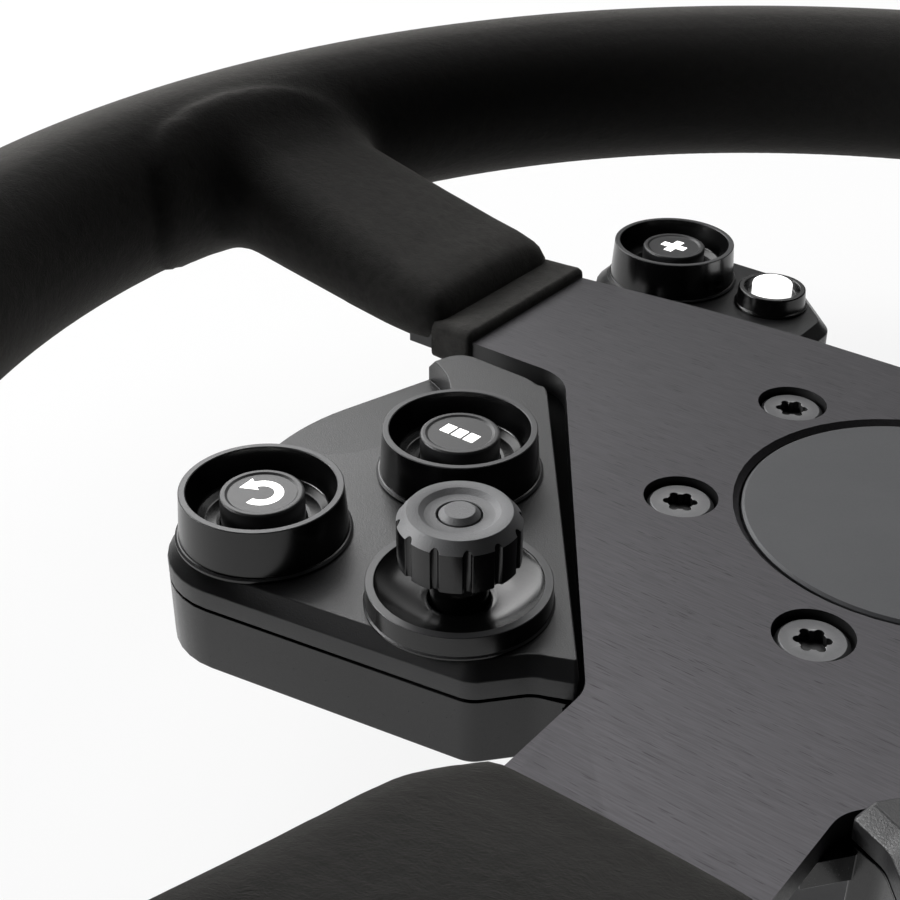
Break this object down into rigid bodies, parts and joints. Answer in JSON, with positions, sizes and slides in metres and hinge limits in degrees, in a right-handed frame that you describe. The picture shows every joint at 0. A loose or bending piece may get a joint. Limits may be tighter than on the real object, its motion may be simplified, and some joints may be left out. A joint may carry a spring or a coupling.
{
  "type": "car steering wheel",
  "caption": "Round three-spoke car steering wheel with suede grip, brushed plate, corner control pods, collared push buttons, joysticks and rear shift paddles.",
  "frame": {"origin": "centre of the rear hub's flat mounting face, on the wheel's turning axis", "axes": "+Z along the turning axis towards the driver, +Y towards twelve o'clock, +X towards three o'clock"},
  "size_m": [0.3528, 0.3528, 0.0684],
  "materials": {
    "plate": "brushed, dark anodised",
    "suede": "matte suede",
    "screw_steel": "satin, darkened",
    "cap": "matte",
    "pod_cover": "fine satin",
    "pod_body": "satin",
    "board": "matte",
    "collar": "satin, black anodised",
    "button": "satin",
    "small_button": "lit white",
    "stem": "polished",
    "knob": "fine blasted",
    "hub": "satin, black anodised",
    "paddle": "satin, black anodised",
    "pin_steel": "ground"
  },
  "bodies": {
    "wheel": {"spoke_plate": "plate", "rim_grip": "suede", "hub_screws": "screw_steel", "centre_cap": "cap", "pod_cover_lower_left": "pod_cover", "pod_cover_lower_right": "pod_cover", "pod_cover_upper_left": "pod_cover", "pod_cover_upper_right": "pod_cover", "pod_body_lower_left": "pod_body", "pod_body_lower_right": "pod_body", "pod_body_upper_left": "pod_body", "pod_body_upper_right": "pod_body", "switch_board_lower_left": "board", "switch_board_lower_right": "board", "switch_board_upper_left": "board", "switch_board_upper_right": "board", "collar_lower_left_outer": "collar", "collar_lower_left_inner": "collar", "collar_lower_right_outer": "collar", "collar_lower_right_inner": "collar", "collar_upper_left": "collar", "collar_upper_right": "collar", "small_collar_upper_left": "collar", "small_collar_upper_right": "collar", "joystick_dish_left": "collar", "joystick_dish_right": "collar", "rear_housing": "pod_body", "rear_hub": "hub", "pod_screws": "screw_steel", "paddle_pins": "pin_steel"},
    "button_lower_left_outer": {"button_lower_left_outer": "button"},
    "button_lower_left_inner": {"button_lower_left_inner": "button"},
    "button_lower_right_outer": {"button_lower_right_outer": "button"},
    "button_lower_right_inner": {"button_lower_right_inner": "button"},
    "button_upper_left": {"button_upper_left": "button"},
    "button_upper_right": {"button_upper_right": "button"},
    "small_button_upper_left": {"small_button_upper_left": "small_button"},
    "small_button_upper_right": {"small_button_upper_right": "small_button"},
    "joystick_cradle_left": {"joystick_cradle_left": "pin_steel"},
    "joystick_stem_left": {"joystick_stem_left": "stem"},
    "joystick_spindle_left": {"joystick_spindle_left": "knob"},
    "joystick_knob_left": {"joystick_knob_left": "knob"},
    "shift_paddle_left": {"shift_paddle_left": "paddle"},
    "joystick_cradle_right": {"joystick_cradle_right": "pin_steel"},
    "joystick_stem_right": {"joystick_stem_right": "stem"},
    "joystick_spindle_right": {"joystick_spindle_right": "knob"},
    "joystick_knob_right": {"joystick_knob_right": "knob"},
    "shift_paddle_right": {"shift_paddle_right": "paddle"}
  },
  "joints": [
    {"name": "press_lower_left_outer", "type": "slide", "parent": "wheel", "child": "button_lower_left_outer", "axis": [0, 0, 1], "range_m": [-0.0015, 0], "stiffness_N_per_m": 300, "springref_m": 0.002},
    {"name": "press_lower_left_inner", "type": "slide", "parent": "wheel", "child": "button_lower_left_inner", "axis": [0, 0, 1], "range_m": [-0.0015, 0], "stiffness_N_per_m": 300, "springref_m": 0.002},
    {"name": "press_lower_right_outer", "type": "slide", "parent": "wheel", "child": "button_lower_right_outer", "axis": [0, 0, 1], "range_m": [-0.0015, 0], "stiffness_N_per_m": 300, "springref_m": 0.002},
    {"name": "press_lower_right_inner", "type": "slide", "parent": "wheel", "child": "button_lower_right_inner", "axis": [0, 0, 1], "range_m": [-0.0015, 0], "stiffness_N_per_m": 300, "springref_m": 0.002},
    {"name": "press_upper_left", "type": "slide", "parent": "wheel", "child": "button_upper_left", "axis": [0, 0, 1], "range_m": [-0.0015, 0], "stiffness_N_per_m": 300, "springref_m": 0.002},
    {"name": "press_upper_right", "type": "slide", "parent": "wheel", "child": "button_upper_right", "axis": [0, 0, 1], "range_m": [-0.0015, 0], "stiffness_N_per_m": 300, "springref_m": 0.002},
    {"name": "press_small_upper_left", "type": "slide", "parent": "wheel", "child": "small_button_upper_left", "axis": [0, 0, 1], "range_m": [-0.0015, 0], "stiffness_N_per_m": 300, "springref_m": 0.002},
    {"name": "press_small_upper_right", "type": "slide", "parent": "wheel", "child": "small_button_upper_right", "axis": [0, 0, 1], "range_m": [-0.0015, 0], "stiffness_N_per_m": 300, "springref_m": 0.002},
    {"name": "joystick_left_tilt_x", "type": "hinge", "parent": "wheel", "child": "joystick_cradle_left", "pos_m": [-0.0389, -0.0596, 0.0436], "axis": [1, 0, 0], "range_deg": [-8, 8], "stiffness_Nm_per_rad": 0.2},
    {"name": "joystick_left_tilt_y", "type": "hinge", "parent": "joystick_cradle_left", "child": "joystick_stem_left", "pos_m": [-0.0389, -0.0596, 0.0436], "axis": [0, 1, 0], "range_deg": [-8, 8], "stiffness_Nm_per_rad": 0.2},
    {"name": "joystick_left_push", "type": "slide", "parent": "joystick_stem_left", "child": "joystick_spindle_left", "axis": [0, 0, 1], "range_m": [-0.0007, 0], "stiffness_N_per_m": 900, "springref_m": 0.001},
    {"name": "joystick_left_turn", "type": "hinge", "parent": "joystick_spindle_left", "child": "joystick_knob_left", "pos_m": [-0.0389, -0.0596, 0.0436], "axis": [0, 0, 1], "continuous": true},
    {"name": "paddle_left_pull", "type": "hinge", "parent": "wheel", "child": "shift_paddle_left", "pos_m": [-0.06, 0.019, 0.0094], "axis": [0, 1, 0], "range_deg": [0, 6], "stiffness_Nm_per_rad": 1.5, "springref_deg": -4.58},
    {"name": "joystick_right_tilt_x", "type": "hinge", "parent": "wheel", "child": "joystick_cradle_right", "pos_m": [0.0389, -0.0596, 0.0436], "axis": [1, 0, 0], "range_deg": [-8, 8], "stiffness_Nm_per_rad": 0.2},
    {"name": "joystick_right_tilt_y", "type": "hinge", "parent": "joystick_cradle_right", "child": "joystick_stem_right", "pos_m": [0.0389, -0.0596, 0.0436], "axis": [0, 1, 0], "range_deg": [-8, 8], "stiffness_Nm_per_rad": 0.2},
    {"name": "joystick_right_push", "type": "slide", "parent": "joystick_stem_right", "child": "joystick_spindle_right", "axis": [0, 0, 1], "range_m": [-0.0007, 0], "stiffness_N_per_m": 900, "springref_m": 0.001},
    {"name": "joystick_right_turn", "type": "hinge", "parent": "joystick_spindle_right", "child": "joystick_knob_right", "pos_m": [0.0389, -0.0596, 0.0436], "axis": [0, 0, 1], "continuous": true},
    {"name": "paddle_right_pull", "type": "hinge", "parent": "wheel", "child": "shift_paddle_right", "pos_m": [0.06, 0.019, 0.0094], "axis": [0, -1, 0], "range_deg": [0, 6], "stiffness_Nm_per_rad": 1.5, "springref_deg": -4.58}
  ]
}
